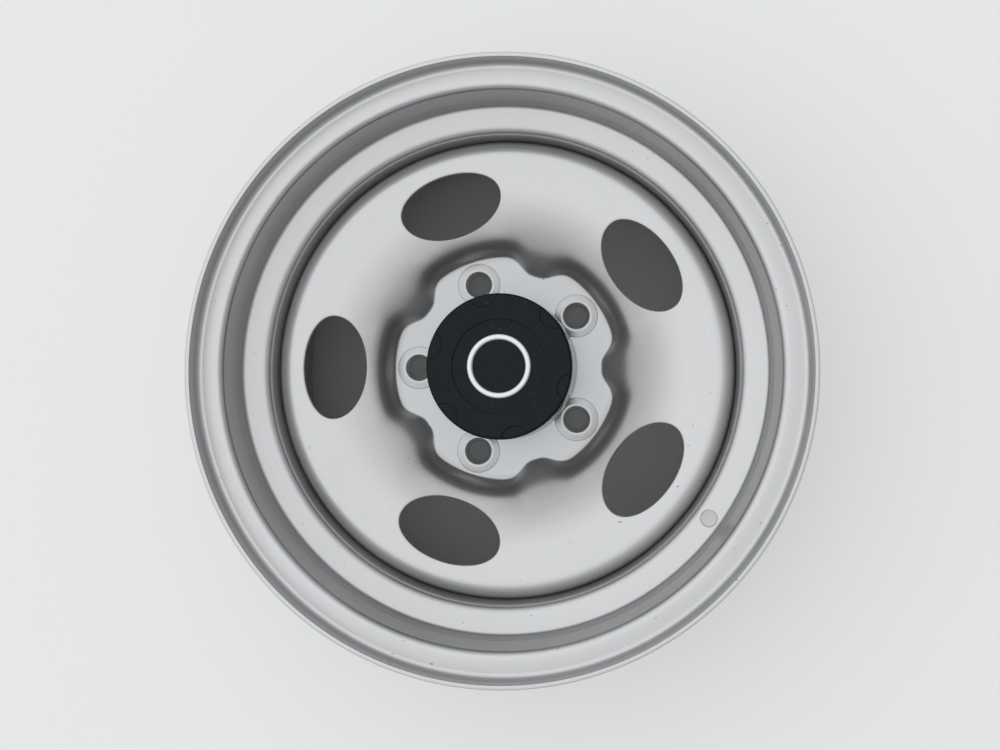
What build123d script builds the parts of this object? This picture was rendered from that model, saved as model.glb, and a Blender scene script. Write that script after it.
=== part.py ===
"""Pressed and welded steel road wheel with a push-in centre cap.

The wheel lies on its inner flange with the street face up. +Z runs along the wheel's axis towards
the street face, and the origin is on that axis in the plane of the hub mounting face. Millimetres.
"""
import math
import os

from build123d import *

# Rim: one rolled strip with a flange, a bead seat and a well wall on each side of the well
bead_diameter = 405.6
rim_width = 177.8
wheel_offset = 17.5
rim_sheet = 3.5
flange_height = 17.5
lip_reach = 15.0
curl_radius = 7.5
heel_radius = 1.5
seat_taper = 5.0
front_seat_length = 27.0
back_seat_length = 54.0
well_wall_slope = 16.0
seat_end_bend = 5.0
well_edge_bend = 5.0
well_inside_radius = 178.0
well_floor_width = 57.0
lip_edge_radius = 0.9
valve_hole_diameter = 11.5
valve_circle_radius = 188.6
valve_angle = 324.0

# Disc: one pressed sheet, nested in the well and dished down to the bolt pad
disc_sheet = 5.0
disc_seat_clearance = 0.1
disc_flange_end = -8.0
crown_bend = 11.5
crown_corner_height = 30.5
dish_slope = 7.5
lobe_radius = 90.0
bump_radius = 80.0
lobe_wall_angle = 68.0
bump_wall_angle = 46.0
bump_half_angle = 9.0
pad_corner_radius = 4.0
shoulder_radius = 20.0

# Bolt pattern, hub bore and vents
bolt_count = 5
bolt_circle_diameter = 139.7
first_bolt_angle = 36.0
bolt_hole_diameter = 15.5
seat_mouth_diameter = 21.3
seat_cone_angle = 60.0
boss_foot_diameter = 34.7
boss_top_diameter = 31.5
boss_height = 1.5
hub_bore_diameter = 87.1
collar_wall = 3.5
collar_height = 14.0
bore_edge_radius = 2.0
vent_circle_radius = 132.5
vent_half_length = 40.0
vent_outer_half_width = 22.5
vent_inner_half_width = 25.0

# Weld beads between the end of the disc's flange and the inside of the well
weld_count = 8
weld_span = 30.0
weld_leg = 4.5
weld_throat_bulge = 0.6

# Centre cap, moulded in one piece with a sleeve that slips over the hub collar
cap_top_radius = 53.6
cap_base_radius = 57.1
cap_top_height = 56.8
cap_wall = 2.5
cap_edge_radius = 2.5
cap_boss_clearance = 1.0
cap_field_radius = 34.8
cap_field_depth = 1.8
cap_mark_count = 6
cap_mark_radius = 10.5
cap_mark_inset = 8.8
cap_mark_depth = 0.8
first_mark_angle = 43.0
sleeve_clearance = 0.3
sleeve_wall = 3.7
sleeve_drop = 7.0
seat_web = 2.5
seat_overlap = 2.0

# Spring ring that grips the collar, and the plain bright ring on the cap's face
ring_wire_diameter = 2.0
ring_gap_angle = 20.0
ring_groove_clearance = 0.1
ring_height_below_seat = 4.0
badge_outer_radius = 24.0
badge_ring_width = 5.0
badge_height = 2.2

# Worked out from the sizes above
rim_centre_height = -wheel_offset
bead_radius = bead_diameter / 2
seat_rise = math.tan(math.radians(seat_taper))
front_lip_height = rim_centre_height + rim_width / 2 + lip_reach
back_lip_height = rim_centre_height - rim_width / 2 - lip_reach
disc_seat_radius = well_inside_radius - disc_seat_clearance
bolt_circle_radius = bolt_circle_diameter / 2
hub_bore_radius = hub_bore_diameter / 2
collar_radius = hub_bore_radius + collar_wall
bolt_pitch = 360.0 / bolt_count


def offset_corners(points, distance):
    """Shift an open chain of straight runs sideways; a positive distance is to the left."""
    runs = [(Vector(*b) - Vector(*a)).normalized() for a, b in zip(points, points[1:])]
    normals = [Vector(-run.Y, run.X) for run in runs]
    shifted = [Vector(*points[0]) + normals[0] * distance]
    for corner, before, after in zip(points[1:-1], normals, normals[1:]):
        shifted.append(Vector(*corner) + (before + after) * (distance / (1 + before.dot(after))))
    shifted.append(Vector(*points[-1]) + normals[-1] * distance)
    return shifted


def bent_line(points, bends, distance):
    """One face line of a bent sheet: its middle line shifted sideways, each bend keeping its centre."""
    radii = []
    for a, b, c, bend in zip(points, points[1:], points[2:], bends):
        before = Vector(*b) - Vector(*a)
        after = Vector(*c) - Vector(*b)
        left_turn = before.X * after.Y - before.Y * after.X > 0
        radii.append(bend - distance if left_turn else bend + distance)
    return FilletPolyline(*offset_corners(points, distance), radius=radii)


def sheet_section(points, bends, thickness):
    """Closed section of a bent sheet, from its middle line's corners and middle bend radii."""
    left = bent_line(points, bends, thickness / 2)
    right = bent_line(points, bends, -thickness / 2)
    return make_face(left + right + Line(left @ 0, right @ 0) + Line(left @ 1, right @ 1))


def spin(section, angle=360.0):
    """Revolve a section drawn as radius and height about the wheel's axis."""
    return revolve(Plane.XZ * section, Axis.Z, revolution_arc=angle)


def rim_corners():
    """Middle line of the rolled strip, from the street-side lip to the inner lip."""
    half = rim_sheet / 2
    lip = bead_radius + flange_height - half
    seat = bead_radius - half
    front_wall = rim_centre_height + rim_width / 2 + half
    back_wall = rim_centre_height - rim_width / 2 - half
    front_seat_end = front_wall - half - front_seat_length
    front_seat_radius = seat - (front_wall - front_seat_end) * seat_rise
    well = well_inside_radius + half
    well_front = front_seat_end - (front_seat_radius - well) * math.tan(math.radians(well_wall_slope))
    well_back = well_front - well_floor_width
    back_seat_end = back_wall + half + back_seat_length
    back_seat_radius = seat - (back_seat_end - back_wall) * seat_rise
    points = [
        (lip, front_lip_height),
        (lip, front_wall),
        (seat, front_wall),
        (front_seat_radius, front_seat_end),
        (well, well_front),
        (well, well_back),
        (back_seat_radius, back_seat_end),
        (seat, back_wall),
        (lip, back_wall),
        (lip, back_lip_height),
    ]
    curl = curl_radius - half
    heel = heel_radius + half
    bends = [curl, heel, seat_end_bend, well_edge_bend, well_edge_bend, seat_end_bend, heel, curl]
    return points, bends


def make_rim():
    points, bends = rim_corners()
    rim = spin(sheet_section(points, bends, rim_sheet))
    lips = rim.edges().filter_by(GeomType.CIRCLE).filter_by(
        lambda e: abs(e.center().Z - front_lip_height) < 1e-3 or abs(e.center().Z - back_lip_height) < 1e-3
    )
    rim = fillet(lips.sort_by(Axis.Z)[-2:], lip_edge_radius)
    seat_end, well_front = points[3], points[4]
    share = (seat_end[0] - valve_circle_radius) / (seat_end[0] - well_front[0])
    valve_height = seat_end[1] + share * (well_front[1] - seat_end[1])
    slope = math.radians(well_wall_slope)
    inward = Vector(-math.sin(slope), 0, math.cos(slope))
    drill_plane = Plane(origin=(valve_circle_radius, 0, valve_height), x_dir=(0, 1, 0), z_dir=inward)
    drill = drill_plane * Cylinder(valve_hole_diameter / 2, 4 * rim_sheet)
    return rim - Rot(0, 0, valve_angle) * drill


def wavy_outline(lobe, bump, height):
    """Closed outline of lobe radius with a rounded inward bump midway between bolts."""
    points = []
    steps_per_bolt = 18
    for step in range(bolt_count * steps_per_bolt):
        turn = step * bolt_pitch / steps_per_bolt
        from_bump = (turn + bolt_pitch / 2) % bolt_pitch - bolt_pitch / 2
        radius = lobe - (lobe - bump) * math.exp(-((from_bump / bump_half_angle) ** 2))
        angle = math.radians(turn + first_bolt_angle - bolt_pitch / 2)
        points.append((radius * math.cos(angle), radius * math.sin(angle), height))
    return make_face(Spline(*points, periodic=True))


def pad_pocket(floor, shift):
    """Recess that sinks the bolt pad, its wall leaning out and its waves fading as it rises.

    The shift moves the wall outward along its own normal, which gives the sheet's other face.
    """
    lobe_lean = math.radians(lobe_wall_angle)
    bump_lean = math.radians(bump_wall_angle)
    rise = crown_corner_height - floor

    def radius_at(base, lean, height):
        return base + shift / math.sin(lean) + (height - disc_sheet) / math.tan(lean)

    def outline(height):
        lobe = radius_at(lobe_radius, lobe_lean, height)
        bump = radius_at(bump_radius, bump_lean, height)
        return wavy_outline(lobe, bump, height)

    return loft([outline(floor), outline(floor + rise)], ruled=True)


def disc_mass(distance, floor, corner_radius, edge_radius):
    """Everything under one face of the pressed sheet, with that face's bolt-pad pocket sunk in it."""
    flange = disc_seat_radius - disc_sheet / 2
    dish_run = flange - bump_radius / 2
    dish_start = crown_corner_height - dish_run * math.tan(math.radians(dish_slope))
    points = [(flange - dish_run, dish_start), (flange, crown_corner_height), (flange, disc_flange_end)]
    face_line = bent_line(points, [crown_bend], distance)
    inner, outer = face_line @ 0, face_line @ 1
    bottom = disc_flange_end - disc_sheet
    rest = Polyline(outer, (outer.X, bottom), (0, bottom), (0, inner.Y), inner)
    mass = spin(make_face(face_line + rest)) - pad_pocket(floor, disc_sheet / 2 - distance)
    foot = mass.edges().filter_by(lambda e: abs(e.bounding_box().max.Z - floor) < 1e-3)
    mass = fillet(foot.filter_by(lambda e: e.bounding_box().max.X > bump_radius / 2), corner_radius)
    top = mass.edges().filter_by(
        lambda e: e.bounding_box().min.Z > floor + corner_radius and e.bounding_box().max.X < vent_circle_radius
    )
    return fillet(top, edge_radius)


def around_bolts(shape):
    """Copies of a shape at every bolt's angle."""
    return [Rot(0, 0, first_bolt_angle + bolt_pitch * i) * shape for i in range(bolt_count)]


def vent_cutter():
    """Oval with a flatter outer half than inner half, drawn at angle zero and cut along the axis."""
    outer = EllipticalCenterArc((0, 0), vent_outer_half_width, vent_half_length, -90, arc_size=180)
    inner = EllipticalCenterArc((0, 0), vent_inner_half_width, vent_half_length, 90, arc_size=180)
    oval = Pos(vent_circle_radius, 0, 0) * make_face(outer + inner)
    return extrude(oval, amount=2 * crown_corner_height)


def make_disc():
    half = disc_sheet / 2
    front = disc_mass(half, disc_sheet, pad_corner_radius, shoulder_radius)
    back = disc_mass(-half, 0.0, pad_corner_radius + disc_sheet, shoulder_radius - disc_sheet)
    keep = Pos(0, 0, disc_flange_end) * Cylinder(
        2 * disc_seat_radius, 4 * crown_corner_height, align=(Align.CENTER, Align.CENTER, Align.MIN)
    )
    disc = (front & keep) - back
    boss = Pos(bolt_circle_radius, 0, disc_sheet) * Cone(
        boss_foot_diameter / 2, boss_top_diameter / 2, boss_height, align=(Align.CENTER, Align.CENTER, Align.MIN)
    )
    collar = Cylinder(collar_radius, collar_height, align=(Align.CENTER, Align.CENTER, Align.MIN))
    disc = disc + around_bolts(boss) + collar
    seat_depth = (seat_mouth_diameter - bolt_hole_diameter) / 2 / math.tan(math.radians(seat_cone_angle / 2))
    boss_top = disc_sheet + boss_height
    seat = Pos(bolt_circle_radius, 0, boss_top - seat_depth) * Cone(
        bolt_hole_diameter / 2, seat_mouth_diameter / 2, seat_depth, align=(Align.CENTER, Align.CENTER, Align.MIN)
    )
    hole = Pos(bolt_circle_radius, 0, 0) * Cylinder(bolt_hole_diameter / 2, 4 * boss_top)
    bore = Cylinder(hub_bore_radius, 4 * collar_height)
    disc = disc - around_bolts(seat) - around_bolts(hole) - bore - around_bolts(vent_cutter())
    bore_back = disc.edges().filter_by(GeomType.CIRCLE).filter_by(
        lambda e: abs(e.radius - hub_bore_radius) < 1e-3 and abs(e.center().Z) < 1e-3
    )
    return fillet(bore_back, bore_edge_radius)


def make_weld_beads():
    """Short fillet welds in the corner between the disc flange's end and the well."""
    corner = disc_seat_radius
    top = disc_flange_end
    toe_rim = (corner, top - weld_leg)
    toe_disc = (corner - weld_leg, top)
    face_middle = (corner - weld_leg / 2 - weld_throat_bulge, top - weld_leg / 2 - weld_throat_bulge)
    section = make_face(
        Line((corner, top), toe_rim) + ThreePointArc(toe_rim, face_middle, toe_disc) + Line(toe_disc, (corner, top))
    )
    bead = spin(section, weld_span)
    return Compound([Rot(0, 0, 360.0 / weld_count * i) * bead for i in range(weld_count)])


def make_centre_cap():
    base = disc_sheet + boss_height + cap_boss_clearance
    field = cap_top_height - cap_field_depth
    ceiling = field - cap_wall
    draft = (cap_base_radius - cap_top_radius) / (cap_top_height - base)

    def wall_radius(height):
        return cap_base_radius - (height - base) * draft

    shell = spin(Polygon(
        (0, base), (cap_base_radius, base), (cap_top_radius, cap_top_height), (0, cap_top_height), align=None
    ))
    rim_edge = shell.edges().filter_by(GeomType.CIRCLE).sort_by(Axis.Z)[-1]
    shell = fillet(rim_edge, cap_edge_radius)
    hollow = spin(Polygon(
        (0, base), (wall_radius(base) - cap_wall, base), (wall_radius(ceiling) - cap_wall, ceiling), (0, ceiling),
        align=None,
    ))
    shell = shell - hollow
    shell = shell - Pos(0, 0, field) * Cylinder(
        cap_field_radius, 2 * cap_field_depth, align=(Align.CENTER, Align.CENTER, Align.MIN)
    )
    mark = Pos(cap_top_radius - cap_mark_inset + cap_mark_radius, 0, cap_top_height - cap_mark_depth) * Cylinder(
        cap_mark_radius, 2 * cap_mark_depth, align=(Align.CENTER, Align.CENTER, Align.MIN)
    )
    shell = shell - [
        Rot(0, 0, first_mark_angle + 360.0 / cap_mark_count * i) * mark for i in range(cap_mark_count)
    ]
    sleeve_inside = collar_radius + sleeve_clearance
    sleeve_outside = sleeve_inside + sleeve_wall
    web_top = collar_height + seat_web
    web_outside = wall_radius(web_top) - cap_wall / 2
    groove_height = collar_height - ring_height_below_seat
    groove_half = ring_wire_diameter / 2 + ring_groove_clearance
    sleeve = spin(Polygon(
        (collar_radius - seat_overlap, collar_height),
        (sleeve_inside, collar_height),
        (sleeve_inside, groove_height + groove_half),
        (collar_radius + ring_wire_diameter + ring_groove_clearance, groove_height + groove_half),
        (collar_radius + ring_wire_diameter + ring_groove_clearance, groove_height - groove_half),
        (sleeve_inside, groove_height - groove_half),
        (sleeve_inside, sleeve_drop),
        (sleeve_outside, sleeve_drop),
        (sleeve_outside, collar_height),
        (web_outside, collar_height),
        (web_outside, web_top),
        (collar_radius - seat_overlap, web_top),
        align=None,
    ))
    return shell + sleeve


def make_spring_ring():
    """Split wire ring that closes on the collar from the groove in the cap's sleeve."""
    wire = Pos(collar_radius + ring_wire_diameter / 2, collar_height - ring_height_below_seat) * Circle(
        ring_wire_diameter / 2
    )
    return Rot(0, 0, ring_gap_angle / 2) * spin(wire, 360.0 - ring_gap_angle)


def make_badge_ring():
    """Plain half-round bright ring on the floor of the cap's round field."""
    floor = cap_top_height - cap_field_depth
    middle = badge_outer_radius - badge_ring_width / 2
    inner = (middle - badge_ring_width / 2, floor)
    outer = (middle + badge_ring_width / 2, floor)
    section = make_face(Line(inner, outer) + ThreePointArc(outer, (middle, floor + badge_height), inner))
    return spin(section)


nodes = {
    "rim": make_rim(),
    "disc": make_disc(),
    "weld_beads": make_weld_beads(),
    "centre_cap": make_centre_cap(),
    "cap_spring_ring": make_spring_ring(),
    "cap_badge_ring": make_badge_ring(),
}

os.makedirs("parts", exist_ok=True)
for name, solid in nodes.items():
    export_step(solid, f"parts/{name}.step")
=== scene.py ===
"""Looks of a silver-painted pressed steel wheel with a gloss black centre cap, seen along its axis."""

import math

import bmesh
import bpy
import numpy as np
from mathutils import Matrix, Vector


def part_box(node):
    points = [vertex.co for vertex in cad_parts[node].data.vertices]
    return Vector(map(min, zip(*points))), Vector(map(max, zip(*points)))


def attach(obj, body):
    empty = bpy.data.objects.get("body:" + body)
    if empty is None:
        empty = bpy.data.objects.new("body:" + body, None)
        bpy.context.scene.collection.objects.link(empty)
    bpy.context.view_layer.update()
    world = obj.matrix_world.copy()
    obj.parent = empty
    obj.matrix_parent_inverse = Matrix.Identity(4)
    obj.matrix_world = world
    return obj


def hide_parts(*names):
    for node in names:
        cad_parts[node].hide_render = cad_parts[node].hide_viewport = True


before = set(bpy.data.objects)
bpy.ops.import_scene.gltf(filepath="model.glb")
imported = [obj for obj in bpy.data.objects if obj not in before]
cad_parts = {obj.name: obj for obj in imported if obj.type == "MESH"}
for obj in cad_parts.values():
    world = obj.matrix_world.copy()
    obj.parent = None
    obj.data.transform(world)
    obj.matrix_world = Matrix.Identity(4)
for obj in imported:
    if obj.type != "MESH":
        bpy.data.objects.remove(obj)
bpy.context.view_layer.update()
MM = 0.001

# Sizes of the real pieces, in millimetres; heights are above the hub mounting plane
rim_low, rim_high = [np.array(corner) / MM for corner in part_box("rim")]
lip_top = rim_high[2]
lip_bottom = rim_low[2]
flange_radius = rim_high[0]
rim_sheet = 3.5
flange_height = 17.5
lip_reach = 15.0
curl_bend = 5.75
heel_bend = 3.25
seat_taper = math.tan(math.radians(5.0))
front_seat_length = 27.0
back_seat_length = 54.0
well_slope = math.radians(16.0)
seat_end_bend = 5.0
well_edge_bend = 5.0
well_inside = 178.0
well_floor = 57.0
lip_round = 0.9
hump_place = 21.0
hump_height = 0.6
hump_spread = 2.6
valve_radius = 5.75
valve_circle = 188.6
valve_turn = math.radians(324.0)

disc_sheet = 5.0
disc_seat = 177.9
disc_end = -8.0
crown_bend = 11.5
crown_corner = 30.5
dish_slope = math.radians(7.5)
lobe_radius = 90.0
bump_radius = 77.0
lobe_lean = math.radians(68.0)
bump_lean = math.radians(46.0)
bump_spread = math.radians(11.3)
pad_bend = 4.0
lobe_shoulder = 20.0
bump_shoulder = 60.0
bolt_count = 5
bolt_circle = 69.85
first_bolt = math.radians(36.0)
bolt_hole = 7.75
seat_mouth = 10.65
boss_crest = 12.4
boss_foot = 17.2
boss_height = 1.5
hub_bore = 43.55
collar_radius = 47.05
collar_height = 14.0
vent_circle = 132.5
vent_half_length = 40.0
vent_outer_half = 22.5
vent_inner_half = 25.0
seat_half_cone = math.radians(30.0)
pad_inner = 50.4
dish_outer = 158.0

cap_top = 53.6
cap_base = 57.1
cap_height = 56.8
cap_foot = 7.5
cap_wall = 2.5
cap_edge = 2.5
cap_field = 34.8
cap_field_depth = 1.8
mark_count = 6
mark_radius = 10.5
mark_inset = 8.8
mark_depth = 0.8
first_mark = math.radians(43.0)
sleeve_inner = 47.35
sleeve_outer = 51.05
sleeve_foot = 7.0
seat_inner = 45.05
seat_web = 2.5
seat_gap = 0.05
groove_reach = 49.15
groove_middle = 10.0
groove_half = 1.1
badge_radius = 24.0
badge_width = 5.0
badge_height = 2.2

weld_count = 8
weld_span = math.radians(30.0)
weld_leg = 4.5
weld_ripples = 36
weld_ripple_share = 0.07

# Steps of the meshes: columns round the axis, rows along a section, and columns each side of a let-in hole
rim_columns = 320
disc_columns = 360
cap_columns = 720
badge_columns = 240
weld_steps = 160
ledge_rows = 8
pad_rows = 12
dish_rows = 16
valve_reach = 3
vent_reach = 20
seat_reach = 16

# Camera, in millimetres, with the lens as a share of the sensor's width
camera_place = (58.6, -12.8, 588.1)
camera_target = (27.7, 9.2, 86.4)
lens_share = 0.732
frame_shift = (-0.034, -0.0234)


class Skin:
    """Collects grids of points as quads, then welds them into one closed, smooth mesh."""

    def __init__(self):
        self.points = []
        self.quads = []
        self.count = 0

    def grid(self, points, wrap=False, keep=None):
        """Quads of a rows-by-columns grid; wrap joins the last column to the first, keep masks quads."""
        rows, columns = points.shape[:2]
        index = self.count + np.arange(rows * columns).reshape(rows, columns)
        if wrap:
            index = np.hstack([index, index[:, :1]])
        quads = np.stack([index[:-1, :-1], index[1:, :-1], index[1:, 1:], index[:-1, 1:]], axis=-1)
        quads = quads.reshape(-1, 4) if keep is None else quads[keep]
        self.points.append(points.reshape(-1, 3))
        self.quads.append(quads)
        self.count += rows * columns

    def finish(self, name, material, sharp_degrees=35.0):
        points = np.concatenate(self.points) * MM
        quads = np.concatenate(self.quads)
        mesh = bpy.data.meshes.new(name)
        mesh.from_pydata(points.tolist(), [], quads.tolist())
        welded = bmesh.new()
        welded.from_mesh(mesh)
        bmesh.ops.remove_doubles(welded, verts=welded.verts, dist=0.004 * MM)
        bmesh.ops.dissolve_degenerate(welded, edges=welded.edges, dist=0.001 * MM)
        loose = [point for point in welded.verts if not point.link_faces]
        bmesh.ops.delete(welded, geom=loose, context="VERTS")
        bmesh.ops.recalc_face_normals(welded, faces=welded.faces)
        welded.to_mesh(mesh)
        welded.free()
        mesh.polygons.foreach_set("use_smooth", np.ones(len(mesh.polygons), dtype=bool))
        mesh.set_sharp_from_angle(angle=math.radians(sharp_degrees))
        mesh.materials.append(material)
        piece = bpy.data.objects.new(name, mesh)
        bpy.context.scene.collection.objects.link(piece)
        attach(piece, "root")
        return piece


def unit(v):
    return v / np.linalg.norm(v, axis=-1, keepdims=True)


def rounded_corner(a, b, c, radius, steps):
    """Arc of the given radius tangent to a-b and b-c: points swing evenly about the arc's centre."""
    u = unit(a - b)
    v = unit(c - b)
    opening = np.arccos(np.clip(np.sum(u * v, axis=-1, keepdims=True), -1, 1))
    radius = np.broadcast_to(np.asarray(radius, float)[..., None], opening.shape)
    centre = b + unit(u + v) * radius / np.sin(opening / 2)
    start = unit(b + u * radius / np.tan(opening / 2) - centre)
    end = unit(b + v * radius / np.tan(opening / 2) - centre)
    swing = math.pi - opening
    share = np.linspace(0, 1, steps + 1).reshape((-1,) + (1,) * a.ndim)
    arc = (np.sin((1 - share) * swing) * start + np.sin(share * swing) * end) / np.sin(swing)
    return centre + radius * arc


def bent_path(corners, radii, run_steps, arc_steps=8):
    """Straight runs joined by tangent arcs; returns the points and the row where each run starts."""
    corners = [np.asarray(c, float) for c in corners]
    arcs = [rounded_corner(a, b, c, radius, arc_steps)
            for a, b, c, radius in zip(corners, corners[1:], corners[2:], radii)]
    stretches = []
    starts = []
    rows = 0
    here = corners[0][None]
    for k, steps in enumerate(run_steps):
        there = arcs[k][:1] if k < len(arcs) else corners[-1][None]
        share = np.linspace(0, 1, steps + 1)[:-1].reshape((-1,) + (1,) * corners[0].ndim)
        stretches.append(here + (there - here) * share)
        starts.append(rows)
        rows += steps
        if k < len(arcs):
            stretches.append(arcs[k][:-1])
            rows += len(arcs[k]) - 1
            here = arcs[k][-1:]
    stretches.append(corners[-1][None])
    return np.concatenate(stretches), starts


def offset_corners(corners, distance):
    """Corners of a chain of runs shifted sideways, a positive distance to the left."""
    corners = np.asarray(corners, float)
    runs = unit(np.diff(corners, axis=0))
    left = np.stack([-runs[:, 1], runs[:, 0]], axis=-1)
    before = np.vstack([left[:1], left])
    after = np.vstack([left, left[-1:]])
    mitre = (before + after) / (1 + np.sum(before * after, axis=-1, keepdims=True))
    return corners + mitre * distance


def sheet_faces(corners, bends, thickness, run_steps):
    """The two face lines of a bent sheet, point for point, each bend keeping its centre."""
    corners = np.asarray(corners, float)
    runs = np.diff(corners, axis=0)
    turns = np.sign(runs[:-1, 0] * runs[1:, 1] - runs[:-1, 1] * runs[1:, 0])
    faces = []
    for distance in (thickness / 2, -thickness / 2):
        radii = np.asarray(bends) - turns * distance
        line, starts = bent_path(offset_corners(corners, distance), radii, run_steps)
        faces.append(line)
    return faces[0], faces[1], starts


def turned(section, angles):
    """Carry a radius-and-height section round the axis: one row per section point."""
    r = section[:, 0][:, None]
    z = section[:, 1][:, None]
    return np.stack([r * np.cos(angles), r * np.sin(angles), z + 0 * angles], axis=-1)


def full_turn(count):
    return np.linspace(0, 2 * math.pi, count, endpoint=False)


def rectangle_loop(rows, columns):
    """Row and column numbers once round a rectangle of grid points."""
    (r0, r1), (c0, c1) = rows, columns
    r = np.concatenate([np.full(c1 - c0, r0), np.arange(r0, r1), np.full(c1 - c0, r1), np.arange(r1, r0, -1)])
    c = np.concatenate([np.arange(c0, c1), np.full(r1 - r0, c1), np.arange(c1, c0, -1), np.full(r1 - r0, c0)])
    return r, c


def square_end(a, b, roundness, steps=4):
    """Flat sheet end: up from a by the rounding, across and down to b, with both corners rounded."""
    across = unit(b - a)
    out = np.array([-across[1], across[0]])
    corners = [a, a + out * roundness, b + out * roundness, b]
    line, _ = bent_path(corners, [roundness * 0.99] * 2, [1, 2, 1], steps)
    return line


def make_rim(paint):
    """Rolled strip: the bent sheet's two face lines turned about the axis, the valve hole let in."""
    half = rim_sheet / 2
    lip = flange_radius - half
    seat = flange_radius - flange_height - half
    front_wall = lip_top - lip_reach + half
    back_wall = lip_bottom + lip_reach - half
    front_end = front_wall - half - front_seat_length
    front_radius = seat - (front_wall - front_end) * seat_taper
    well = well_inside + half
    well_front = front_end - (front_radius - well) * math.tan(well_slope)
    back_end = back_wall + half + back_seat_length
    back_radius = seat - (back_end - back_wall) * seat_taper
    corners = [
        (lip, lip_top - lip_round), (lip, front_wall), (seat, front_wall), (front_radius, front_end),
        (well, well_front), (well, well_front - well_floor), (back_radius, back_end), (seat, back_wall),
        (lip, back_wall), (lip, lip_bottom + lip_round),
    ]
    front_bends = [curl_bend, heel_bend, seat_end_bend, well_edge_bend]
    bends = front_bends + front_bends[::-1]
    run_steps = [2, 3, 20, ledge_rows, 8, 6, 24, 3, 2]
    tyre_side, hub_side, starts = sheet_faces(corners, bends, rim_sheet, run_steps)
    for line in (tyre_side, hub_side):
        for hump in (front_wall - hump_place, back_wall + hump_place):
            swell = hump_height * np.exp(-(((line[:, 1] - hump) / hump_spread) ** 2))
            line[:, 0] += swell * (line[:, 0] < seat + half)
    angles = full_turn(rim_columns)
    ledge = (starts[3] - 1, starts[3] + ledge_rows + 2)
    centre = round(valve_turn / (2 * math.pi) * rim_columns)
    gap = (centre - valve_reach, centre + valve_reach)
    keep = np.ones((len(tyre_side) - 1, rim_columns), dtype=bool)
    keep[ledge[0]:ledge[1], gap[0]:gap[1]] = False
    skin = Skin()
    for line in (tyre_side, hub_side):
        skin.grid(turned(line, angles), wrap=True, keep=keep)
    for end, other in ((hub_side[0], tyre_side[0]), (tyre_side[-1], hub_side[-1])):
        skin.grid(turned(square_end(end, other, lip_round), angles), wrap=True)
    let_in_valve_hole(skin, tyre_side, hub_side, ledge, gap, angles)
    return skin.finish("wheel_rim", paint)


def let_in_valve_hole(skin, tyre_side, hub_side, ledge, gap, angles):
    """Rings that shrink from a rectangle of the well wall to the round hole, then line the hole.

    Places are (along the slope, across it) about the hole's centre, so each ring is a straight blend
    of the rectangle and the circle before it is laid on the cone.
    """
    rows, columns = rectangle_loop(ledge, gap)
    travel = np.concatenate([[0], np.cumsum(np.linalg.norm(np.diff(hub_side, axis=0), axis=-1))])
    window = slice(ledge[0], ledge[1] + 1)
    middle = np.interp(-valve_circle, -hub_side[window, 0], travel[window])
    along = travel[rows] - middle
    across = (angles[columns] - valve_turn) * valve_circle
    bearing = np.arctan2(across, along)

    def lay(a, c, depth):
        front = np.stack([np.interp(a + middle, travel, hub_side[:, i]) for i in (0, 1)], axis=-1)
        back = np.stack([np.interp(a + middle, travel, tyre_side[:, i]) for i in (0, 1)], axis=-1)
        place = front + (back - front) * depth
        turn = valve_turn + c / valve_circle
        return np.stack([place[..., 0] * np.cos(turn), place[..., 0] * np.sin(turn), place[..., 1]], axis=-1)

    for depth, rim_of_hole in ((0.0, valve_radius + 0.8), (1.0, valve_radius + 0.5)):
        blend = np.linspace(0, 1, 6)[:, None]
        a = along * (1 - blend) + rim_of_hole * np.cos(bearing) * blend
        c = across * (1 - blend) + rim_of_hole * np.sin(bearing) * blend
        skin.grid(lay(a, c, depth), wrap=True)
    profile = np.array([(0.8, 0.0), (0.3, 0.06), (0.06, 0.16), (0.0, 0.32),
                        (0.0, 0.85), (0.12, 0.95), (0.5, 1.0)])
    ring = valve_radius + profile[:, 0][:, None]
    skin.grid(lay(ring * np.cos(bearing), ring * np.sin(bearing), profile[:, 1][:, None, None]), wrap=True)


def dish_line(radius):
    """Height of the dish's street face: a shallow cone that ends at the crown."""
    flange = disc_seat - disc_sheet / 2
    return crown_corner + disc_sheet / 2 / math.cos(dish_slope) - math.tan(dish_slope) * (flange - radius)


def wave(angles):
    """One on the blunt crest of each inward bump, falling by the cube of the turn to nothing at the bolts."""
    pitch = 2 * math.pi / bolt_count
    from_bump = (angles - first_bolt) % pitch - pitch / 2
    return np.exp(-(np.abs(from_bump / bump_spread) ** 3))


def disc_section(angles, arc_steps=10):
    """Street face from the pad to the outer dish: one rounded section of radius and height per angle.

    The wall's foot and its lean swing between lobe and bump with the wave, so the waves fade as it rises.
    """
    w = wave(angles)
    foot = lobe_radius + (bump_radius - lobe_radius) * w
    run = 1 / math.tan(lobe_lean) + (1 / math.tan(bump_lean) - 1 / math.tan(lobe_lean)) * w
    head = (foot + run * (dish_line(0) - disc_sheet)) / (1 - run * math.tan(dish_slope))
    level = np.full_like(angles, disc_sheet)
    corners = [
        np.stack([np.full_like(angles, pad_inner), level], axis=-1),
        np.stack([foot, level], axis=-1),
        np.stack([head, dish_line(head)], axis=-1),
        np.stack([np.full_like(angles, dish_outer), np.full_like(angles, dish_line(dish_outer))], axis=-1),
    ]
    bends = [np.full_like(angles, pad_bend), lobe_shoulder + (bump_shoulder - lobe_shoulder) * w]
    return bent_path(corners, bends, [pad_rows, 5, dish_rows], arc_steps)


def disc_field(angles):
    """The street face as a grid of points, one row per step of the section."""
    section, starts = disc_section(angles)
    r, z = section[..., 0], section[..., 1]
    return np.stack([r * np.cos(angles), r * np.sin(angles), z], axis=-1), starts


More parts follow.
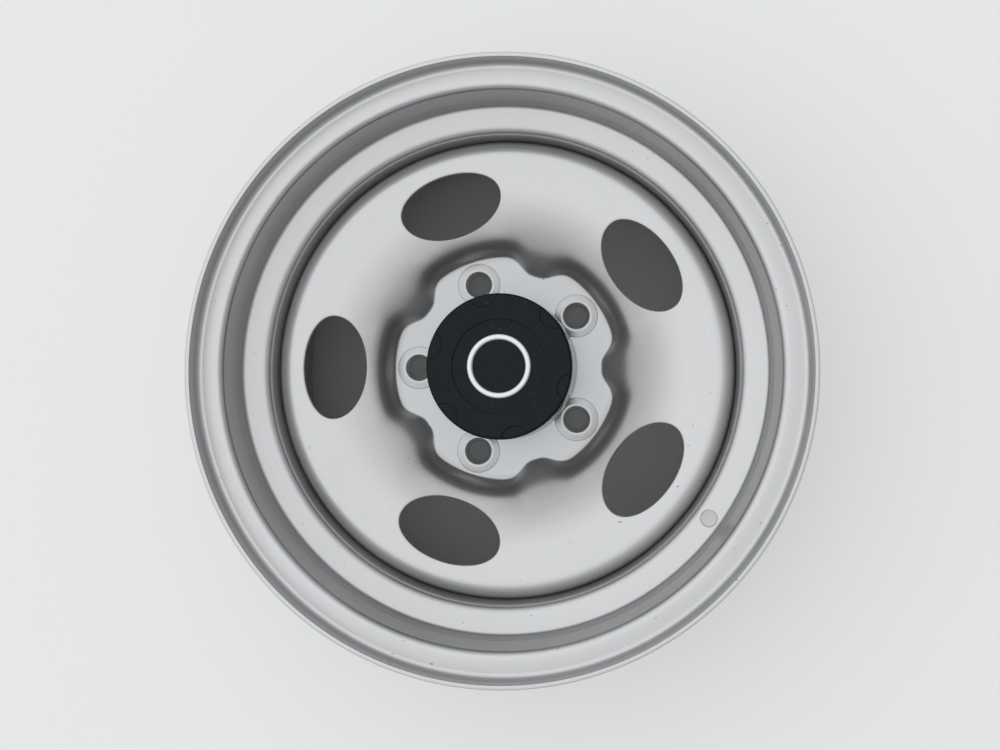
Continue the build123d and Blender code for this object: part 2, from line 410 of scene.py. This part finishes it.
def street_height(x, y):
    """Height of the street face at points in plan: each point's own section, read between two of its rows."""
    radius = np.hypot(x, y).ravel()
    section, _ = disc_section(np.arctan2(y, x).ravel(), 40)
    r, z = section[..., 0], section[..., 1]
    row = np.clip((r < radius).sum(axis=0), 1, len(r) - 1)
    pick = np.arange(len(radius))
    below, above = r[row - 1, pick], r[row, pick]
    share = (radius - below) / np.maximum(above - below, 1e-9)
    return (z[row - 1, pick] * (1 - share) + z[row, pick] * share).reshape(x.shape)


def street_normal(x, y):
    """Unit normal of the street face, from its height a little to each side."""
    step = 0.05
    slope_x = (street_height(x + step, y) - street_height(x - step, y)) / (2 * step)
    slope_y = (street_height(x, y + step) - street_height(x, y - step)) / (2 * step)
    return unit(np.stack([-slope_x, -slope_y, np.ones_like(x)], axis=-1))


def surface_normals(points):
    """Unit normals of a grid that wraps in its columns, from central differences."""
    along = np.gradient(points, axis=0)
    around = np.roll(points, -1, axis=1) - np.roll(points, 1, axis=1)
    return unit(np.cross(along, around))


def make_disc(paint):
    """Pressed sheet: field, collar and crown, with the vents and the bolt seats let into the field."""
    angles = full_turn(disc_columns)
    front, starts = disc_field(angles)
    back = front - surface_normals(front) * disc_sheet
    back[0] = front[0] - (0, 0, disc_sheet)
    keep = np.ones((len(front) - 1, disc_columns), dtype=bool)
    skin = Skin()
    dish = (starts[2] - 6, len(front) - 1)
    pad = (0, pad_rows)
    for k in range(bolt_count):
        centre = round((first_bolt / (2 * math.pi) + k / bolt_count) * disc_columns)
        for let_in, rows, reach in ((let_in_vent, dish, vent_reach), (let_in_bolt_seat, pad, seat_reach)):
            keep[rows[0]:rows[1], centre - reach:centre + reach] = False
            let_in(skin, front, back, rows, (centre - reach, centre + reach), angles[centre])
    skin.grid(front, wrap=True, keep=keep)
    skin.grid(back, wrap=True, keep=keep)
    skin.grid(turned(collar_section(), angles), wrap=True)
    skin.grid(turned(crown_section(front[-1, 0], back[-1, 0]), angles), wrap=True)
    return skin.finish("wheel_disc", paint)


def let_in_vent(skin, front, back, rows, columns, turn):
    """Rings that shrink from a rectangle of the dish to the oval vent, then its rounded edge.

    The oval's half width is larger on the hub side; rings are blended in plan and laid on the cone.
    """
    r, c = rectangle_loop(rows, columns)
    c_axis, s_axis = math.cos(turn), math.sin(turn)
    plan = front[r, c][:, :2]
    out = plan[:, 0] * c_axis + plan[:, 1] * s_axis - vent_circle
    side = -plan[:, 0] * s_axis + plan[:, 1] * c_axis
    bearing = np.arctan2(side / vent_half_length, out / vent_inner_half)

    def oval(outset):
        half = np.where(np.cos(bearing) > 0, vent_outer_half, vent_inner_half) + outset
        return half * np.cos(bearing), (vent_half_length + outset) * np.sin(bearing)

    def lay(o, s, depth):
        x = (vent_circle + o) * c_axis - s * s_axis
        y = (vent_circle + o) * s_axis + s * c_axis
        return np.stack([x, y, street_height(x, y)], axis=-1) - street_normal(x, y) * depth

    edge = np.array([(1.3, 0.0), (0.62, 0.12), (0.18, 0.45), (0.0, 1.1),
                     (0.0, 4.2), (0.25, 4.75), (0.8, 5.0)])
    blend = np.linspace(0, 1, 9)[:, None]
    for depth, outset, sheet in ((0.0, edge[0, 0], front), (disc_sheet, edge[-1, 0], back)):
        o, s = oval(outset)
        rings = lay(out * (1 - blend) + o * blend, side * (1 - blend) + s * blend, depth)
        rings[0] = sheet[r, c]
        skin.grid(rings, wrap=True)
    loops = [lay(*oval(outset), depth) for outset, depth in edge]
    skin.grid(np.stack(loops), wrap=True)


def let_in_bolt_seat(skin, front, back, rows, columns, turn):
    """Low domed boss and conical nut seat: a profile of reach and height carried round each bolt's axis."""
    r, c = rectangle_loop(rows, columns)
    hub = np.array([bolt_circle * math.cos(turn), bolt_circle * math.sin(turn)])
    top = disc_sheet + boss_height
    seat_floor = top - (seat_mouth - bolt_hole) / math.tan(seat_half_cone)
    corners = [(boss_foot + 0.2, disc_sheet), (boss_foot, disc_sheet - 0.02),
               (boss_foot - 0.4, disc_sheet + 0.35), (boss_crest, top),
               (seat_mouth, top), (bolt_hole, seat_floor), (bolt_hole, 0.5)]
    profile, _ = bent_path(corners, [0.1, 0.25, 2.0, 0.6, 0.4], [1, 1, 6, 3, 4, 2], 5)
    foot = np.array([(bolt_hole, 0.5), (bolt_hole + 0.15, 0.15), (bolt_hole + 0.5, 0.0)])
    bearing = unit(front[r, c][:, :2] - hub)
    for sheet, line in ((front, profile), (back, foot[::-1])):
        plan = sheet[r, c]
        blend = np.linspace(0, 1, 5)[:, None, None]
        circle = np.concatenate([hub + bearing * line[0, 0], np.full((len(r), 1), line[0, 1])], axis=-1)
        skin.grid(plan * (1 - blend) + circle * blend, wrap=True)
        around = hub + bearing * line[:, 0][:, None, None]
        height = np.broadcast_to(line[:, 1][:, None, None], around.shape[:2] + (1,))
        skin.grid(np.concatenate([around, height], axis=-1), wrap=True)


def collar_section():
    """Drawn collar of the hub bore, from the pad's street face over the collar to the pad's back."""
    corners = [(pad_inner, disc_sheet), (collar_radius, disc_sheet), (collar_radius, collar_height),
               (hub_bore, collar_height), (hub_bore, 0.0), (pad_inner, 0.0)]
    line, _ = bent_path(corners, [2.2, 0.8, 0.8, 2.0], [1, 3, 2, 4, 1], 6)
    return line


def crown_section(front_end, back_end):
    """Outer bend and welded flange, from the dish's street face round to its back."""
    inside = disc_seat - disc_sheet
    start = (math.hypot(front_end[0], front_end[1]), front_end[2])
    stop = (math.hypot(back_end[0], back_end[1]), back_end[2])
    back_dish = dish_line(inside) - disc_sheet / math.cos(dish_slope)
    corners = [start, (disc_seat, dish_line(disc_seat)), (disc_seat, disc_end), (inside, disc_end),
               (inside, back_dish), stop]
    bends = [crown_bend + disc_sheet / 2, 0.8, 0.8, crown_bend - disc_sheet / 2]
    line, _ = bent_path(corners, bends, [2, 6, 2, 6, 2], 10)
    return line


def make_cap(plastic):
    """Moulded cap: a turned shell and sleeve; a smooth step sinks the street face in each half-round mark."""
    field = cap_height - cap_field_depth
    ceiling = field - cap_wall
    lean = (cap_base - cap_top) / (cap_height - cap_foot)
    seat = collar_height + seat_gap

    def inside(height):
        return cap_base - cap_wall - (height - cap_foot) * lean

    corners = [(0.0, field), (cap_field, field), (cap_field - 0.3, cap_height), (cap_top, cap_height),
               (cap_base, cap_foot), (cap_base - cap_wall, cap_foot), (inside(seat), seat)]
    face, starts = bent_path(corners, [0.35, 0.5, cap_edge, 0.7, 0.7], [8, 2, 60, 6, 2, 4], 6)
    sleeve = np.array([
        (sleeve_outer, seat), (sleeve_outer, sleeve_foot), (sleeve_inner, sleeve_foot),
        (sleeve_inner, groove_middle - groove_half), (groove_reach, groove_middle - groove_half),
        (groove_reach, groove_middle + groove_half), (sleeve_inner, groove_middle + groove_half),
        (sleeve_inner, seat), (seat_inner, seat), (seat_inner, seat + seat_web),
        (inside(seat + seat_web), seat + seat_web), (inside(ceiling), ceiling), (0.0, ceiling),
    ])
    line = np.concatenate([face, sleeve])
    angles = full_turn(cap_columns)
    shell = turned(line, angles)
    pitch = 2 * math.pi / mark_count
    near = (angles - first_mark + pitch / 2) % pitch - pitch / 2
    centre = cap_top - mark_inset + mark_radius
    r = line[:, 0][:, None]
    distance = np.hypot(r * np.cos(near) - centre, r * np.sin(near))
    step = np.clip((mark_radius - distance) / 0.6 + 0.5, 0, 1)
    step = step * step * (3 - 2 * step)
    on_face = np.clip((line[:, 1][:, None] - (cap_height - cap_edge)) / cap_edge, 0, 1)
    on_face = on_face * (np.arange(len(line))[:, None] < starts[5])
    shell[..., 2] -= mark_depth * step * on_face
    skin = Skin()
    skin.grid(shell, wrap=True)
    return skin.finish("cap_shell", plastic, 50.0)


def make_badge(chrome):
    """Plain half-round ring on the floor of the cap's round field: an arch carried round the axis."""
    floor = cap_height - cap_field_depth
    swing = np.linspace(math.pi, 0, 25)
    middle = badge_radius - badge_width / 2
    rise = badge_height * np.sin(swing) ** 0.8
    arch = np.stack([middle + badge_width / 2 * np.cos(swing), floor + rise], axis=-1)
    base = np.stack([np.linspace(arch[-1, 0], arch[0, 0], 5), np.full(5, floor)], axis=-1)
    skin = Skin()
    skin.grid(turned(np.concatenate([arch, base[1:]]), full_turn(badge_columns)), wrap=True)
    return skin.finish("cap_ring", chrome)


def make_welds(paint):
    """Fillet welds: a quarter-round profile carried along an arc, swelling with each ripple of the bead."""
    skin = Skin()
    for k in range(weld_count):
        start = 2 * math.pi / weld_count * k
        along = np.linspace(0, 1, weld_steps)
        taper = np.clip(np.minimum(along, 1 - along) * 40, 0, 1) ** 0.5
        ripple = 1 + weld_ripple_share * np.cos(along * 2 * math.pi * weld_ripples)
        size = weld_leg * 0.98 * (0.12 + 0.88 * taper) * ripple
        swing = np.linspace(0, math.pi / 2, 9)[:, None]
        bulge = 1 - 0.22 * np.sin(2 * swing)
        down = size * np.cos(swing) * bulge
        inward = size * np.sin(swing) * bulge
        r = np.concatenate([disc_seat + 0 * size[None], disc_seat - inward])
        z = np.concatenate([disc_end + 0 * size[None], disc_end - down])
        turn = start + weld_span * along
        loop = np.stack([r * np.cos(turn), r * np.sin(turn), z], axis=-1)
        skin.grid(np.concatenate([loop, loop[:1]]))
        for end in (0, -1):
            fan = loop[:, end]
            middle = np.repeat(fan[:1], len(fan), axis=0)
            skin.grid(np.stack([fan, middle]))
    return skin.finish("weld_seams", paint)


def shader(name):
    material = bpy.data.materials.new(name)
    material.use_nodes = True
    nodes = material.node_tree.nodes
    return material, nodes, material.node_tree.links, nodes["Principled BSDF"]


def noise(nodes, links, place, scale, detail=2.0):
    """Noise in the object's own coordinates, at so many waves a metre."""
    grain = nodes.new("ShaderNodeTexNoise")
    grain.inputs["Scale"].default_value = scale
    grain.inputs["Detail"].default_value = detail
    links.new(place.outputs["Object"], grain.inputs["Vector"])
    return grain.outputs["Fac"]


def span(nodes, links, value, low, high, out_low, out_high):
    """A smooth step that takes one span of values to another."""
    step = nodes.new("ShaderNodeMapRange")
    step.interpolation_type = "SMOOTHSTEP"
    for name, number in (("From Min", low), ("From Max", high), ("To Min", out_low), ("To Max", out_high)):
        step.inputs[name].default_value = number
    links.new(value, step.inputs["Value"])
    return step.outputs["Result"]


def tint(nodes, links, share, under, over):
    """Colour that passes from one to another by a share; either may be a colour or a node's output."""
    mix = nodes.new("ShaderNodeMix")
    mix.data_type = "RGBA"
    links.new(share, mix.inputs["Factor"])
    for socket, colour in ((mix.inputs[6], under), (mix.inputs[7], over)):
        if isinstance(colour, tuple):
            socket.default_value = colour
        else:
            links.new(colour, socket)
    return mix.outputs[2]


def multiply(nodes, links, a, b):
    product = nodes.new("ShaderNodeMath")
    product.operation = "MULTIPLY"
    links.new(a, product.inputs[0])
    links.new(b, product.inputs[1])
    return product.outputs["Value"]


def silver_paint():
    """Silver stove enamel: metal flake, orange peel and a few dust specks, with painted shade: a darker tone
    on the pad and a warm dark band of painted shade and dark reflection round the pad's wall.
    """
    material, nodes, links, surface = shader("silver_paint")
    surface.inputs["Metallic"].default_value = 0.75
    place = nodes.new("ShaderNodeTexCoord")
    cloud = noise(nodes, links, place, 11.0, 5.0)
    flake = noise(nodes, links, place, 2600.0, 1.0)
    speck = noise(nodes, links, place, 330.0, 1.0)
    patches = span(nodes, links, cloud, 0.3, 0.7, 0.0, 1.0)
    colour = tint(nodes, links, patches, (0.465, 0.468, 0.47, 1), (0.5, 0.503, 0.508, 1))
    sparkle = span(nodes, links, flake, 0.35, 0.75, 0.0, 0.35)
    colour = tint(nodes, links, sparkle, colour, (0.58, 0.58, 0.58, 1))
    from_axis = nodes.new("ShaderNodeVectorMath")
    from_axis.operation = "MULTIPLY"
    from_axis.inputs[1].default_value = (1, 1, 0)
    links.new(place.outputs["Object"], from_axis.inputs[0])
    reach = nodes.new("ShaderNodeVectorMath")
    reach.operation = "LENGTH"
    links.new(from_axis.outputs["Vector"], reach.inputs[0])
    # Painted shade: the pad inside the wall is tinted darker and cooler, standing in for the shade and dark
    # reflection it gets from the cap and the dish walls.
    pad_painted_shade = span(nodes, links, reach.outputs["Value"], 0.079, 0.088, 0.6, 0.0)
    colour = tint(nodes, links, pad_painted_shade, colour, (0.40, 0.413, 0.425, 1))
    # Painted shade: a warm dark band from the wall's foot to below the vents, broken up by the cloud noise,
    # stands in for the shade and dark reflection over the hollow round the pad.
    shade_above_wall = span(nodes, links, reach.outputs["Value"], 0.08, 0.094, 0.0, 1.0)
    shade_below_vents = span(nodes, links, reach.outputs["Value"], 0.1, 0.142, 1.0, 0.0)
    painted_shade_band = multiply(nodes, links, shade_above_wall, shade_below_vents)
    painted_shade_band = multiply(nodes, links, painted_shade_band, span(nodes, links, cloud, 0.35, 0.62, 0.6, 0.95))
    colour = tint(nodes, links, painted_shade_band, colour, (0.29, 0.281, 0.268, 1))
    dots = span(nodes, links, speck, 0.77, 0.8, 0.0, 0.7)
    colour = tint(nodes, links, dots, colour, (0.13, 0.125, 0.12, 1))
    links.new(colour, surface.inputs["Base Color"])
    links.new(span(nodes, links, cloud, 0.3, 0.7, 0.28, 0.35), surface.inputs["Roughness"])
    bump = nodes.new("ShaderNodeBump")
    bump.inputs["Strength"].default_value = 0.06
    bump.inputs["Distance"].default_value = 0.0005
    links.new(noise(nodes, links, place, 420.0), bump.inputs["Height"])
    links.new(bump.outputs["Normal"], surface.inputs["Normal"])
    return material


def cap_plastic():
    """Gloss black moulding with a faint haze in its gloss and grains of dust."""
    material, nodes, links, surface = shader("cap_plastic")
    surface.inputs["Specular IOR Level"].default_value = 0.15
    surface.inputs["Specular Tint"].default_value = (0.84, 0.93, 1.0, 1)
    place = nodes.new("ShaderNodeTexCoord")
    dust = span(nodes, links, noise(nodes, links, place, 700.0, 1.0), 0.76, 0.80, 0.0, 0.25)
    colour = tint(nodes, links, dust, (0.004, 0.0043, 0.0048, 1), (0.4, 0.39, 0.37, 1))
    links.new(colour, surface.inputs["Base Color"])
    haze = noise(nodes, links, place, 45.0, 4.0)
    links.new(span(nodes, links, haze, 0.3, 0.7, 0.07, 0.17), surface.inputs["Roughness"])
    return material


def bright_metal(name, colour, low, high):
    """Plated or drawn metal: one colour, its gloss broken by fine noise."""
    material, nodes, links, surface = shader(name)
    surface.inputs["Base Color"].default_value = colour
    surface.inputs["Metallic"].default_value = 1.0
    place = nodes.new("ShaderNodeTexCoord")
    rough = nodes.new("ShaderNodeMapRange")
    rough.inputs["To Min"].default_value = low
    rough.inputs["To Max"].default_value = high
    links.new(noise(nodes, links, place, 90.0), rough.inputs["Value"])
    links.new(rough.outputs["Result"], surface.inputs["Roughness"])
    return material


def lay_floor():
    """Plain pale floor under the wheel."""
    material, _, _, surface = shader("pale_floor")
    surface.inputs["Base Color"].default_value = (0.80, 0.80, 0.79, 1)
    surface.inputs["Roughness"].default_value = 0.7
    mesh = bpy.data.meshes.new("floor")
    reach = 40.0
    height = lip_bottom * MM
    mesh.from_pydata([(-reach, -reach, height), (reach, -reach, height), (reach, reach, height),
                      (-reach, reach, height)], [], [(0, 1, 2, 3)])
    mesh.materials.append(material)
    floor = bpy.data.objects.new("floor", mesh)
    bpy.context.scene.collection.objects.link(floor)


def light_studio():
    """A wide soft sky of light, brightest over the wheel's upper left and dim at the horizon."""
    world = bpy.data.worlds.new("surround")
    bpy.context.scene.world = world
    world.use_nodes = True
    nodes = world.node_tree.nodes
    links = world.node_tree.links
    backdrop = nodes["Background"]
    backdrop.inputs["Color"].default_value = (0.97, 0.985, 1.0, 1)
    bearing = nodes.new("ShaderNodeTexCoord")
    facing = nodes.new("ShaderNodeVectorMath")
    facing.operation = "DOT_PRODUCT"
    facing.inputs[1].default_value = Vector((-0.26, 0.15, 0.95)).normalized()
    links.new(bearing.outputs["Generated"], facing.inputs[0])
    glow = nodes.new("ShaderNodeMapRange")
    glow.interpolation_type = "SMOOTHSTEP"
    for name, number in (("From Min", 0.3), ("From Max", 1.0), ("To Min", 0.47), ("To Max", 1.51)):
        glow.inputs[name].default_value = number
    links.new(facing.outputs["Value"], glow.inputs["Value"])
    sight = nodes.new("ShaderNodeLightPath")
    level = nodes.new("ShaderNodeMix")
    level.inputs["B"].default_value = 1.0
    links.new(sight.outputs["Is Camera Ray"], level.inputs["Factor"])
    links.new(glow.outputs["Result"], level.inputs["A"])
    links.new(level.outputs["Result"], backdrop.inputs["Strength"])


def set_camera():
    """Camera a little right of the axis and close above the wheel, as the photograph was taken."""
    place = Vector(camera_place) * MM
    target = Vector(camera_target) * MM
    lens = bpy.data.cameras.new("camera")
    lens.sensor_width = 36.0
    lens.lens = lens_share * lens.sensor_width
    lens.shift_x, lens.shift_y = frame_shift
    lens.clip_start = 0.01
    camera = bpy.data.objects.new("camera", lens)
    back = (place - target).normalized()
    right = Vector((0, 1, 0)).cross(back).normalized()
    turn = Matrix((right, back.cross(right), back)).transposed().to_4x4()
    camera.matrix_world = Matrix.Translation(place) @ turn
    bpy.context.scene.collection.objects.link(camera)
    bpy.context.scene.camera = camera


silver = silver_paint()
black = cap_plastic()
chrome = bright_metal("badge_chrome", (0.56, 0.57, 0.58, 1), 0.06, 0.14)
spring_steel = bright_metal("spring_steel", (0.45, 0.45, 0.44, 1), 0.25, 0.4)

dressed = {
    "rim": (make_rim(silver), "silver_paint"),
    "disc": (make_disc(silver), "silver_paint"),
    "weld_beads": (make_welds(silver), "silver_paint"),
    "centre_cap": (make_cap(black), "cap_plastic"),
    "cap_badge_ring": (make_badge(chrome), "badge_chrome"),
}
for node, (piece, slot) in dressed.items():
    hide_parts(node)
spring_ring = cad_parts["cap_spring_ring"]
spring_ring.data.materials.clear()
spring_ring.data.materials.append(spring_steel)

lay_floor()
light_studio()
set_camera()
bpy.context.scene.view_settings.view_transform = "Standard"
